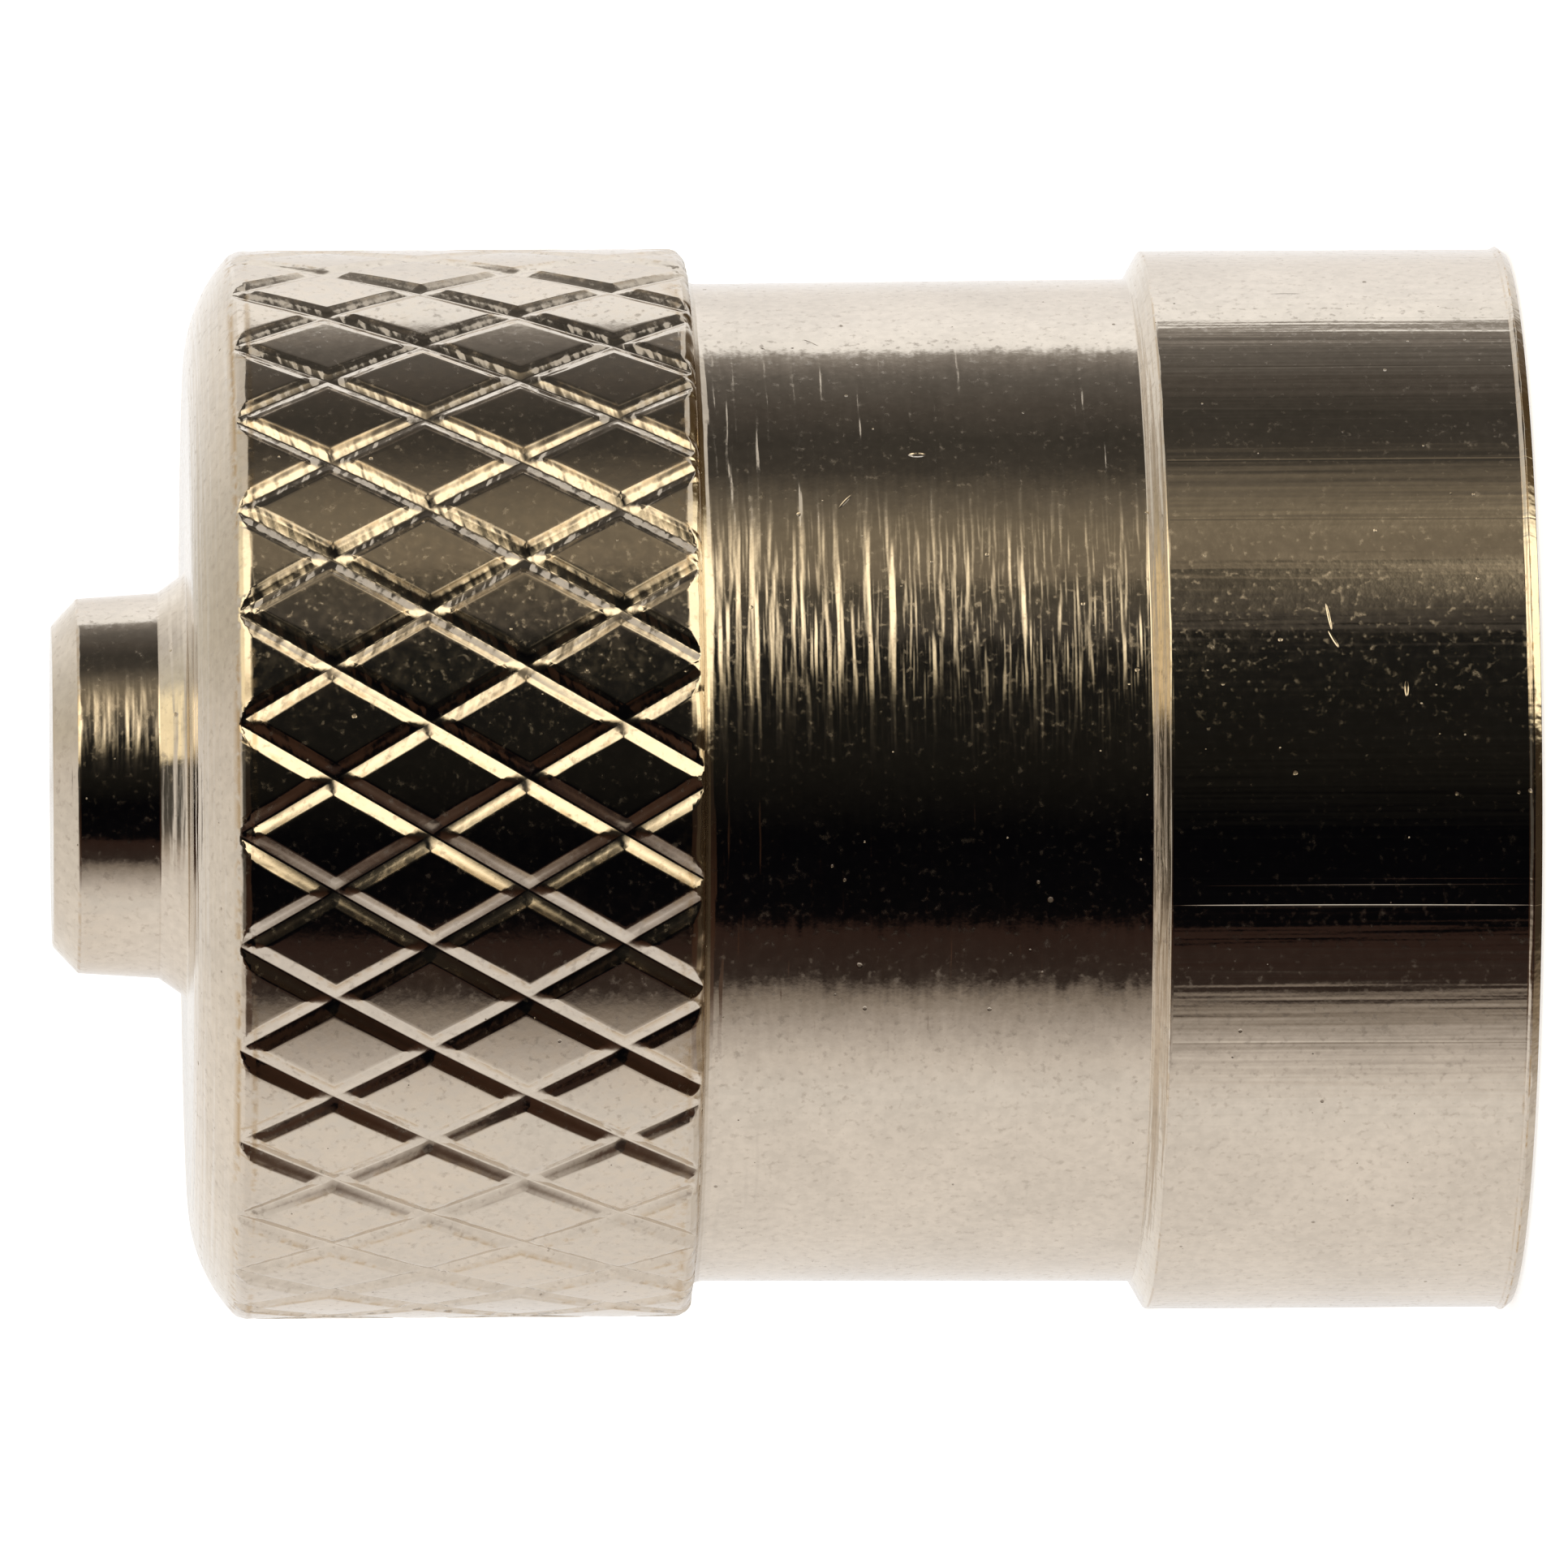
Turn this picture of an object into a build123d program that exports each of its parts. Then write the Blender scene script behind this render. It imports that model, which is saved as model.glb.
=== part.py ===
from build123d import *
import math
import os

# Tyre valve cap, turned from brass bar, with a rubber washer at the bottom of its bore.
# Millimetres and degrees. The cap stands on its open rim: the rim is at height 0 and the axis is Z.

# Bore for the car tyre valve thread, at the diameter of the thread's crests
bore_diameter = 6.95
mouth_chamfer = 0.65

# Relief groove behind the thread, which holds the sealing washer
relief_depth = 0.5
relief_room = 0.2
seal_thickness = 1.6
seal_clearance = 0.05
seal_edge_chamfer = 0.2

# Hole through the washer and the drilled recess above it, which clear the valve's pin
core_hole_diameter = 3.5
recess_depth = 0.9
drill_angle = 118.0
crown_thickness = 3.05

# Plain collar at the open end
collar_wall = 1.525
collar_length = 3.43
collar_edge_round = 0.1
rim_chamfer_height = 0.1
rim_chamfer_width = 0.05

# Waist between collar and knurl, tapering a little towards the knurl
collar_cone_height = 0.195
waist_step = 0.264
waist_length = 4.091
waist_draft = 0.38

# Diamond knurl, with V-grooves of both hands
knurl_rise = 0.042
knurl_length = 4.204
knurl_starts = 30
knurl_helix = 30.55
groove_width = 0.26
groove_depth = 0.062
knurl_end_chamfer = 0.18
knurl_root_fillet = 0.14
crossing_angle = -83.4
crossing_height = 2.574

# Rounded shoulder, ending in a short steep cone where the grooves run out
shoulder_radius = 1.517
shoulder_angle = 42.0
run_out_angle = 24.0
run_out_margin = 0.01

# Nub on the closed end
nub_diameter = 3.49
nub_height = 1.27
nub_draft = 4.6
nub_chamfer = 0.26
nub_fillet = 0.3

# Radii
bore_radius = bore_diameter / 2
relief_radius = bore_radius + relief_depth
core_hole_radius = core_hole_diameter / 2
collar_radius = bore_radius + collar_wall
waist_radius = collar_radius - waist_step
waist_top_radius = waist_radius - waist_length * math.tan(math.radians(waist_draft))
knurl_radius = collar_radius + knurl_rise
run_out_radius = knurl_radius - groove_depth - run_out_margin
face_radius = run_out_radius - shoulder_radius * math.sin(math.radians(shoulder_angle))
nub_radius = nub_diameter / 2
nub_root_radius = nub_radius + nub_height * math.tan(math.radians(nub_draft))

# Heights above the rim
waist_z = collar_length + collar_cone_height
knurl_z = waist_z + waist_length
knurl_top_z = knurl_z + knurl_length
run_out_length = (knurl_radius - run_out_radius) / math.tan(math.radians(run_out_angle))
run_out_z = knurl_top_z + run_out_length
face_z = run_out_z + shoulder_radius * (1 - math.cos(math.radians(shoulder_angle)))
nub_top_z = face_z + nub_height
seat_z = face_z - crown_thickness
relief_z = seat_z - seal_thickness - relief_room
recess_top_z = seat_z + recess_depth
drill_tip_z = recess_top_z + core_hole_radius / math.tan(math.radians(drill_angle / 2))


def corner(section, point):
    """The vertex of a section that lies at a point of its outline."""
    return section.vertices().sort_by_distance(Vector(*point))[0]


def turned(section):
    """A section drawn as radius and height, turned about the Z axis."""
    return revolve(Plane.XZ * section, Axis.Z)


def body_section():
    """Half section of the cap before knurling, from the nub down the outside and up the bore."""
    nub_root = (nub_root_radius, face_z)
    shoulder_start = (face_radius, face_z)
    shoulder_end = (run_out_radius, run_out_z)
    waist_top = (waist_top_radius, knurl_z)
    collar_edge = (collar_radius, collar_length)
    nub_top = (0, nub_top_z)
    end_face = Polyline(
        nub_top,
        (nub_radius - nub_chamfer, nub_top_z),
        (nub_radius + nub_chamfer * math.tan(math.radians(nub_draft)), nub_top_z - nub_chamfer),
        nub_root,
        shoulder_start,
    )
    shoulder = TangentArc(shoulder_start, shoulder_end, tangent=(1, 0))
    side = Polyline(
        shoulder_end,
        (knurl_radius, knurl_top_z),
        (knurl_radius, knurl_z + knurl_end_chamfer),
        (knurl_radius - knurl_end_chamfer, knurl_z),
        waist_top,
        (waist_radius, waist_z),
        collar_edge,
        (collar_radius, rim_chamfer_height),
        (collar_radius - rim_chamfer_width, 0),
    )
    bore = Polyline(
        (collar_radius - rim_chamfer_width, 0),
        (bore_radius + mouth_chamfer, 0),
        (bore_radius, mouth_chamfer),
        (bore_radius, relief_z),
        (relief_radius, relief_z),
        (relief_radius, seat_z),
        (core_hole_radius, seat_z),
        (core_hole_radius, recess_top_z),
        (0, drill_tip_z),
        nub_top,
    )
    section = make_face([*end_face.edges(), shoulder, *side.edges(), *bore.edges()])
    rounds = [
        (nub_root, nub_fillet),
        (waist_top, knurl_root_fillet),
        (collar_edge, collar_edge_round),
    ]
    for point, radius in rounds:
        section = fillet(corner(section, point), radius)
    return section


def groove_cutters(hand):
    """V-section cutters along one hand of helix, one for each start, past both ends of the knurl."""
    axial_pitch = 2 * math.pi * knurl_radius / knurl_starts / math.tan(math.radians(knurl_helix))
    turn_per_mm = hand * 360 / knurl_starts / axial_pitch
    length = knurl_length + 2 * run_out_length
    root_radius = knurl_radius - groove_depth
    outer_radius = knurl_radius + groove_depth
    half_width = groove_width / math.cos(math.radians(knurl_helix))
    vee = Polyline((root_radius, 0), (outer_radius, half_width), (outer_radius, -half_width), close=True)
    cutter = Solid.extrude_linear_with_rotation(
        Wire(vee.edges()), (0, 0, 0), (0, 0, length), turn_per_mm * length
    )
    start_z = knurl_z - run_out_length
    start_angle = crossing_angle - turn_per_mm * (crossing_height + run_out_length)
    step = 360 / knurl_starts
    return [
        Pos(0, 0, start_z) * Rot(0, 0, start_angle + start * step) * cutter
        for start in range(knurl_starts)
    ]


def cap_body():
    """The turned body with both hands of knurling grooves cut into its band."""
    body = turned(body_section())
    for hand in (1, -1):
        body = body - groove_cutters(hand)
    return body


def seal_washer():
    """Rubber washer against the seat, pushed past the thread into the relief groove."""
    outer_radius = relief_radius - seal_clearance
    bottom_z = seat_z - seal_thickness
    outer_edge = (outer_radius, bottom_z)
    inner_edge = (core_hole_radius, bottom_z)
    section = make_face(
        Polyline(
            inner_edge,
            outer_edge,
            (outer_radius, seat_z),
            (core_hole_radius, seat_z),
            close=True,
        )
    )
    for point in (outer_edge, inner_edge):
        section = chamfer(corner(section, point), seal_edge_chamfer)
    return turned(section)


os.makedirs("parts", exist_ok=True)
export_step(cap_body(), "parts/cap_body.step")
export_step(seal_washer(), "parts/seal_washer.step")
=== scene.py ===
"""Tyre valve cap in nickel-plated brass, with its rubber sealing washer, on a pale studio floor."""

import math

import bmesh
import bpy
from bpy.props import FloatProperty, FloatVectorProperty, IntProperty, PointerProperty
from bpy.types import Operator, Panel, PropertyGroup
from mathutils import Matrix, Vector, noise


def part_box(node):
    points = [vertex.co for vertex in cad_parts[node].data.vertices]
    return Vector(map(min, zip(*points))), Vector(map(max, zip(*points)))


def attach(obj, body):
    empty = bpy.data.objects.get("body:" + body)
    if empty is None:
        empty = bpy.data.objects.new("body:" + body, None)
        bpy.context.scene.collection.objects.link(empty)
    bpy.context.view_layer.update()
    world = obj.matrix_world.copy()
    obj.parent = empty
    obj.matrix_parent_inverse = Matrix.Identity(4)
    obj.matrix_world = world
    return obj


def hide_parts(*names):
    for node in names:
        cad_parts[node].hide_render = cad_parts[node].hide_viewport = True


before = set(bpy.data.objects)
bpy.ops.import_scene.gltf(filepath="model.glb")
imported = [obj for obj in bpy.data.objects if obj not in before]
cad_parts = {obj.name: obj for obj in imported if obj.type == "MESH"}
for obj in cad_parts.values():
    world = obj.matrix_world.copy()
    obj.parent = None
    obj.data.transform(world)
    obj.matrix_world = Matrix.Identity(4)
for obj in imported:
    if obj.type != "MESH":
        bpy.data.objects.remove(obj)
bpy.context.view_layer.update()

bl_info = {
    "name": "Tyre Valve Cap",
    "version": (1, 0, 0),
    "blender": (4, 5, 0),
    "location": "View3D > Sidebar > Valve Cap",
    "description": "Builds a knurled metal tyre valve cap with its washer, finishes and studio",
    "category": "Object",
}

MM = 0.001
BODY_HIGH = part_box("cap_body")[1]
SEAL_LOW, SEAL_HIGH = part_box("seal_washer")


def length(name, description, default):
    """A size that a user may change, in metres."""
    return FloatProperty(
        name=name, description=description, default=default, min=0.0, precision=6, unit="LENGTH"
    )


def angle(name, description, degrees):
    """An angle that a user may change."""
    return FloatProperty(
        name=name, description=description, default=math.radians(degrees), subtype="ANGLE"
    )


def colour(name, description, default):
    """A linear colour that a user may change."""
    return FloatVectorProperty(
        name=name, description=description, default=default, size=3, min=0.0, max=1.0, subtype="COLOR"
    )


class CapBodySizes(PropertyGroup):
    """Sizes of the turned and knurled body."""

    collar_radius: length("Collar radius", "Outside radius of the plain collar", 5.0 * MM)
    collar_length: length("Collar length", "Height of the collar above the rim", 3.44 * MM)
    collar_round: length("Collar round", "Round at the collar's upper edge", 0.03 * MM)
    rim_chamfer_height: length("Rim chamfer height", "Chamfer round the rim", 0.075 * MM)
    rim_chamfer_width: length("Rim chamfer width", "Chamfer round the rim", 0.06 * MM)
    rim_lip: length("Rim lip", "Height of the lip that cutting off left round the rim", 0.03 * MM)
    waist_radius: length("Waist radius", "Waist radius beside the collar", 4.736 * MM)
    waist_start: length("Waist start", "Height where the collar's cone ends", 3.59 * MM)
    waist_end_radius: length("Waist end radius", "Waist radius below the knurl", 4.709 * MM)
    knurl_radius: length("Knurl radius", "Radius over the knurl's lands", BODY_HIGH.x)
    knurl_start: length("Knurl start", "Height of the knurl's lower end", 7.756 * MM)
    knurl_end: length("Knurl end", "Height where the shoulder starts", 11.92 * MM)
    knurl_round: length("Knurl end round", "Round at the knurl's lower end", 0.14 * MM)
    knurl_fillet: length("Knurl fillet", "Fillet between the knurl's end and the waist", 0.128 * MM)
    shoulder_corner: length("Shoulder corner", "Round between knurl and shoulder", 0.2 * MM)
    groove_starts: IntProperty(
        name="Groove starts", description="Grooves of each hand round the knurl", default=30, min=3
    )
    groove_helix: angle("Groove helix", "Angle of a groove to the cap's axis", 30.55)
    groove_width: length("Groove width", "Width of a groove across its run", 0.26 * MM)
    groove_depth: length("Groove depth", "Depth of the deeper grooves below the lands", 0.062 * MM)
    crossing_angle: angle("Crossing angle", "Angle at which two grooves cross", -83.4)
    crossing_height: length("Crossing height", "Height at which they cross", 10.29 * MM)
    shoulder_radius: length("Shoulder radius", "Radius of the rounded shoulder", 1.567 * MM)
    shoulder_angle: angle("Shoulder angle", "Turn of the rounded shoulder", 42.0)
    face_height: length("Face height", "Height of the end face", 12.4714 * MM)
    nub_radius: length("Nub radius", "Radius of the nub at its end", 1.752 * MM)
    nub_height: length("Nub height", "Height of the nub over the end face", BODY_HIGH.z - 12.4714 * MM)
    nub_draft: angle("Nub draft", "Taper of the nub's side", 3.8)
    nub_chamfer: length("Nub chamfer", "Chamfer round the nub's end", 0.24 * MM)
    nub_foot_height: length("Nub foot height", "Height of the cone at the nub's foot", 0.27 * MM)
    nub_foot_width: length("Nub foot width", "Width of the cone at the nub's foot", 0.19 * MM)
    bore_radius: length("Bore radius", "Radius at the crests of the thread", 3.475 * MM)
    thread_depth: length("Thread depth", "Depth of the thread", 0.425 * MM)
    thread_pitch: length("Thread pitch", "Rise of the thread in one turn", 0.79375 * MM)
    mouth_chamfer: length("Mouth chamfer", "Chamfer at the mouth of the bore", 0.65 * MM)
    relief_radius: length("Relief radius", "Radius of the washer's groove", 3.975 * MM)
    relief_start: length("Relief start", "Height where the thread ends", 7.6214 * MM)
    seat_height: length("Seat height", "Height of the washer's seat", 9.4214 * MM)
    recess_radius: length("Recess radius", "Radius of the drilled recess", 1.75 * MM)
    recess_height: length("Recess height", "Height where the drill's point starts", 10.3214 * MM)


class SealWasherSizes(PropertyGroup):
    """Sizes of the rubber washer."""

    inner_radius: length("Inner radius", "Radius of the hole", 1.75 * MM)
    outer_radius: length("Outer radius", "Outside radius", SEAL_HIGH.x)
    bottom: length("Bottom", "Height of the sealing face", SEAL_LOW.z)
    top: length("Top", "Height of the face on the seat", SEAL_HIGH.z)
    edge_round: length("Edge round", "Round of the sealing face's edges", 0.25 * MM)
    lip_depth: length("Lip depth", "Depth of the moulded ring on the sealing face", 0.06 * MM)


class FinishColours(PropertyGroup):
    """Colours of the finishes."""

    nickel: colour("Nickel", "Polished plating", (0.66, 0.585, 0.49))
    brass: colour("Brass", "Bare metal on worn edges", (0.45, 0.31, 0.16))
    rubber: colour("Rubber", "Washer", (0.018, 0.017, 0.016))
    floor: colour("Floor", "Studio floor", (0.85, 0.85, 0.85))


class StageSizes(PropertyGroup):
    """Camera and floor."""

    camera_distance: length("Camera distance", "Camera to the cap's axis", 229.9 * MM)
    camera_height: length("Camera height", "Camera above the floor", 16.48 * MM)
    aim_height: length("Aim height", "Point on the axis at the picture's middle", 6.82 * MM)
    camera_lens: FloatProperty(
        name="Lens", description="Focal length on a 36 mm sensor", default=559.0, min=1.0, unit="CAMERA"
    )
    camera_roll: angle("Camera roll", "Turn of the picture", -0.33)
    floor_radius: length("Floor radius", "Radius of the round floor", 3.0)


# Sections and turned surfaces


def new_object(name, data):
    """An object in the scene's own collection."""
    made = bpy.data.objects.new(name, data)
    bpy.context.scene.collection.objects.link(made)
    return made


def rounded_outline(corners, steps=4):
    """Radius, height and wear along a half section, from corners given with a round and a wear."""
    points = []
    for index, (radius, height, corner_round, wear) in enumerate(corners):
        here = Vector((radius, height))
        if corner_round == 0.0:
            points.append((radius, height, wear))
            continue
        before = Vector(corners[index - 1][:2]) - here
        after = Vector(corners[index + 1][:2]) - here
        half_turn = before.angle(after) / 2
        reach = corner_round / math.tan(half_turn)
        start = here + before.normalized() * reach
        end = here + after.normalized() * reach
        for step in range(steps + 1):
            share = step / steps
            point = start * (1 - share) ** 2 + here * 2 * share * (1 - share) + end * share**2
            points.append((point.x, point.y, wear * 4 * share * (1 - share)))
    return points


class TurnedMesh:
    """A mesh built from rings of points round the Z axis, with wear and groove values at its points."""

    def __init__(self):
        self.bm = bmesh.new()
        self.wear = self.bm.verts.layers.float.new("edge_wear")
        self.groove = self.bm.verts.layers.float.new("groove")

    def ring(self, angles, radius, height, wear=0.0):
        """One ring of points, each given with its angle."""
        points = []
        for turn in angles:
            vert = self.bm.verts.new((radius * math.cos(turn), radius * math.sin(turn), height))
            vert[self.wear] = wear
            points.append((turn, vert))
        return points

    def join(self, first, second, finish):
        """Four-sided faces between two rings with the same angles."""
        count = len(first)
        for index in range(count):
            after = (index + 1) % count
            corners = (first[index][1], first[after][1], second[after][1], second[index][1])
            self.bm.faces.new(corners).material_index = finish

    def zip_rings(self, first, second, finish):
        """Triangles between two rings whose angles differ, both in rising order."""
        turn = 2 * math.pi
        a, b = 0, 0
        while a < len(first) or b < len(second):
            next_a = first[(a + 1) % len(first)][0] + turn * ((a + 1) // len(first))
            next_b = second[(b + 1) % len(second)][0] + turn * ((b + 1) // len(second))
            vert_a, vert_b = first[a % len(first)][1], second[b % len(second)][1]
            if b == len(second) or (a < len(first) and next_a <= next_b):
                a += 1
                third = first[a % len(first)][1]
            else:
                b += 1
                third = second[b % len(second)][1]
            self.bm.faces.new((vert_a, third, vert_b)).material_index = finish

    def turn(self, start, points, finish):
        """Rings along an outline, joined on from a ring. Gives the last ring."""
        angles = [turn for turn, vert in start]
        for radius, height, wear in points:
            following = self.ring(angles, radius, height, wear)
            self.join(start, following, finish)
            start = following
        return start

    def close(self, start, height, finish):
        """A fan of triangles from a ring to a point on the axis."""
        tip = self.bm.verts.new((0.0, 0.0, height))
        for index in range(len(start)):
            corners = (start[index][1], start[(index + 1) % len(start)][1], tip)
            self.bm.faces.new(corners).material_index = finish

    def chip_edges(self, depth):
        """Small dents along the worn edges, towards the axis."""
        least_wear, wide_scale, fine_scale = 0.25, 3.2, 7.5
        for vert in self.bm.verts:
            wear = vert[self.wear]
            if wear < least_wear:
                continue
            unit = vert.co / MM
            dent = 0.6 * noise.noise(unit * wide_scale) + noise.noise(unit * fine_scale)
            flat = math.hypot(vert.co.x, vert.co.y)
            keep = 1 - depth * wear * max(0.0, dent) / flat
            vert.co.x *= keep
            vert.co.y *= keep

    def finish_object(self, name, materials):
        """The mesh as an object with smooth faces, flat faces kept flat by weighted normals."""
        same_place = 1e-8
        bmesh.ops.remove_doubles(self.bm, verts=self.bm.verts, dist=same_place)
        bmesh.ops.dissolve_degenerate(self.bm, edges=self.bm.edges, dist=same_place)
        bmesh.ops.recalc_face_normals(self.bm, faces=self.bm.faces)
        mesh = bpy.data.meshes.new(name)
        self.bm.to_mesh(mesh)
        self.bm.free()
        for material in materials:
            mesh.materials.append(material)
        mesh.shade_smooth()
        made = new_object(name, mesh)
        weighted = made.modifiers.new("Weighted normals", "WEIGHTED_NORMAL")
        weighted.mode = "FACE_AREA"
        weighted.weight = 60
        return made


def even_angles(count):
    """Angles of one turn, evenly spaced."""
    return [2 * math.pi * index / count for index in range(count)]


def ring_at(turned, height):
    """The open edge of the mesh at a height, as a ring in rising order of angle."""
    found = []
    for vert in turned.bm.verts:
        if vert.is_boundary and abs(vert.co.z - height) < 1e-7:
            found.append((math.atan2(vert.co.y, vert.co.x) % (2 * math.pi), vert))
    return sorted(found, key=lambda pair: pair[0])


# Knurl


class KnurlPattern:
    """Two crossing sets of V-grooves round a cylinder, in units of one groove to the next."""

    def __init__(self, sizes):
        self.sizes = sizes
        self.starts = sizes.groove_starts
        around = 2 * math.pi * sizes.knurl_radius / self.starts
        self.rise = around / math.tan(sizes.groove_helix)
        self.spacing = around * math.cos(sizes.groove_helix)
        self.half_width = sizes.groove_width / 2
        self.slope = sizes.groove_depth / self.half_width
        self.edge = 0.012 * MM
        self.bottom = 0.012 * MM
        self.waver = 0.03 * MM

    def place(self, along, across):
        """Angle and height of a point given by its place in the two sets of grooves."""
        turn = self.sizes.crossing_angle + (along + across) * math.pi / self.starts
        return turn, self.sizes.crossing_height + (along - across) * self.rise / 2

    def uneven(self, co):
        """Width and slope of the right-hand and the left-hand grooves at a point, as shares."""
        unit = co / MM
        slow = noise.noise(unit * 0.8)
        quick = noise.noise(unit * 3.1)
        other = noise.noise(unit * 1.1 + Vector((7.0, 3.0, 5.0)))
        lopsided = co.x / self.sizes.knurl_radius
        right = (0.95 + 0.1 * other - 0.06 * quick, 0.80 - 0.08 * lopsided + 0.08 * slow)
        left = (1.02 + 0.08 * slow + 0.05 * quick, 0.92 - 0.12 * lopsided + 0.1 * other)
        return right, left

    def settled(self, along, across):
        """Angle and height of a mesh point, moved with the uneven width of the grooves."""
        turn, height = self.place(along, across)
        reach = self.sizes.knurl_radius
        right, left = self.uneven(Vector((reach * math.cos(turn), reach * math.sin(turn), height)))
        return self.place(self.widened(along, right[0]), self.widened(across, left[0]))

    def widened(self, place, share):
        """A place in one set, moved so that the mesh lines over the groove keep to its edges."""
        groove = round(place)
        off = abs(place - groove)
        near = (self.half_width + 3 * self.edge) / self.spacing
        if off > near:
            off = 0.5 - (0.5 - off) * (0.5 - near * share) / (0.5 - near)
        else:
            off *= share
        return groove + math.copysign(off, place - groove)

    def depth(self, co):
        """Depth of the grooves at a point of the cylinder."""
        turn = (math.atan2(co.y, co.x) - self.sizes.crossing_angle) * self.starts / (2 * math.pi)
        climb = (co.z - self.sizes.crossing_height) / self.rise
        right, left = self.uneven(co)
        return max(self.one_depth(turn + climb, *right), self.one_depth(turn - climb, *left))

    def one_depth(self, place, width_share, slope_share):
        """Depth of one set of grooves, with rounded edges and a rounded bottom."""
        off = abs(place - round(place)) * self.spacing
        half = self.half_width * width_share
        slope = self.slope * slope_share
        if off >= half + self.edge:
            return 0.0
        if off > half - self.edge:
            return slope * (half + self.edge - off) ** 2 / (4 * self.edge)
        if off < self.bottom:
            return slope * (half - self.bottom / 2 - off**2 / (2 * self.bottom))
        return slope * (half - off)

    def lines(self):
        """Places of the mesh lines within one groove spacing, close together over the groove."""
        edge, half, bottom = self.edge, self.half_width, self.bottom
        near = [0.0, bottom, half * 0.5, half - edge, half, half + edge, half + edge * 3]
        near = [value / self.spacing for value in near]
        middle = [0.5 * near[-1] + 0.25, 0.5]
        rising = near + middle
        return rising + [1 - value for value in reversed(rising[1:-1])]

    def envelope(self, co, top_height):
        """Radius that the worn rounds at the knurl's two ends leave."""
        sizes = self.sizes
        rim = Vector((co.x, co.y, 0.0)) / MM
        waver = self.waver * (0.6 * noise.noise(rim * 1.7) + 0.7 * noise.noise(rim * 5.3))
        low = sizes.knurl_start + sizes.knurl_round + waver - co.z
        fade = min(max((top_height - co.z) / (0.08 * MM), 0.0), 1.0)
        high = co.z - sizes.knurl_end + waver * fade
        if low > 0:
            return self.rounded(low, sizes.knurl_round)
        if high > 0:
            return self.rounded(high, sizes.shoulder_corner)
        return sizes.knurl_radius

    def rounded(self, past, corner_round):
        """Radius at a distance past the start of an end's round."""
        fall = math.sqrt(max(corner_round**2 - past**2, 0.0))
        return self.sizes.knurl_radius - corner_round + fall

    def end_wear(self, height, top_height):
        """Wear along the lines where the lands end."""
        sizes = self.sizes
        worn_width = 0.03 * MM
        round_end = sizes.knurl_start + sizes.knurl_round
        lines = (sizes.knurl_start, round_end, sizes.knurl_end, top_height)
        off = min(abs(height - line) for line in lines)
        return max(0.0, 1 - off / worn_width)


def add_knurl(turned, sizes, top_height, finish):
    """The knurled band, with mesh lines along its grooves and a crisp edge where they run out."""
    pattern = KnurlPattern(sizes)
    bm = turned.bm
    lines = pattern.lines()
    count = len(lines)
    round_count = pattern.starts * count
    verts = {}

    def vert_at(along, across):
        shift = along // round_count
        key = (along - shift * round_count, across - shift * round_count)
        if key not in verts:
            turn, height = pattern.settled(
                key[0] // count + lines[key[0] % count], key[1] // count + lines[key[1] % count]
            )
            reach = sizes.knurl_radius
            verts[key] = bm.verts.new((reach * math.cos(turn), reach * math.sin(turn), height))
        return verts[key]

    lowest = math.floor((sizes.knurl_start - sizes.crossing_height) / (pattern.rise / 2)) - 1
    highest = math.ceil((top_height - sizes.crossing_height) / (pattern.rise / 2)) + 1
    for cell in range(pattern.starts):
        for level in range(lowest, highest + 1):
            for a in range(count):
                for b in range(count):
                    along, across = cell * count + a, (cell - level) * count + b
                    corners = [
                        vert_at(along, across),
                        vert_at(along + 1, across),
                        vert_at(along + 1, across + 1),
                        vert_at(along, across + 1),
                    ]
                    bm.faces.new(corners).material_index = finish

    def cut(height, keep):
        bmesh.ops.bisect_plane(
            bm,
            geom=[*bm.verts, *bm.edges, *bm.faces],
            dist=1e-9,
            plane_co=(0, 0, height),
            plane_no=(0, 0, 1),
            clear_outer=keep == "below",
            clear_inner=keep == "above",
        )

    # Mesh lines along the two end rounds, as shares of each round
    low_shares = (0.05, 0.17, 0.35, 0.6, 0.9, 1.1)
    high_shares = (-0.2, -0.06, 0.06, 0.2, 0.4, 0.6)
    cut(sizes.knurl_start, "above")
    for share in low_shares:
        cut(sizes.knurl_start + sizes.knurl_round * share, "both")
    for share in high_shares:
        cut(sizes.knurl_end + sizes.shoulder_corner * share, "both")
    cut(top_height, "below")

    def clearance(vert):
        return sizes.knurl_radius - pattern.depth(vert.co) - pattern.envelope(vert.co, top_height)

    crossings = []
    clear = {vert: clearance(vert) for vert in bm.verts}
    for edge in list(bm.edges):
        first, second = edge.verts
        a, b = clear[first], clear[second]
        if a * b < 0 and min(abs(a), abs(b)) > 1e-8:
            crossings.append(bmesh.utils.edge_split(edge, first, a / (a - b))[1])
    bmesh.ops.connect_verts(bm, verts=crossings)
    for vert in bm.verts:
        depth = pattern.depth(vert.co)
        limit = pattern.envelope(vert.co, top_height)
        reach = min(sizes.knurl_radius - depth, limit)
        flat = math.hypot(vert.co.x, vert.co.y)
        vert.co.x *= reach / flat
        vert.co.y *= reach / flat
        share = depth / sizes.groove_depth
        vert[turned.groove] = share
        edge_wear = 0.7 * max(0.0, 1 - abs(share - 0.1) / 0.12)
        vert[turned.wear] = max(pattern.end_wear(vert.co.z, top_height), edge_wear)


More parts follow.
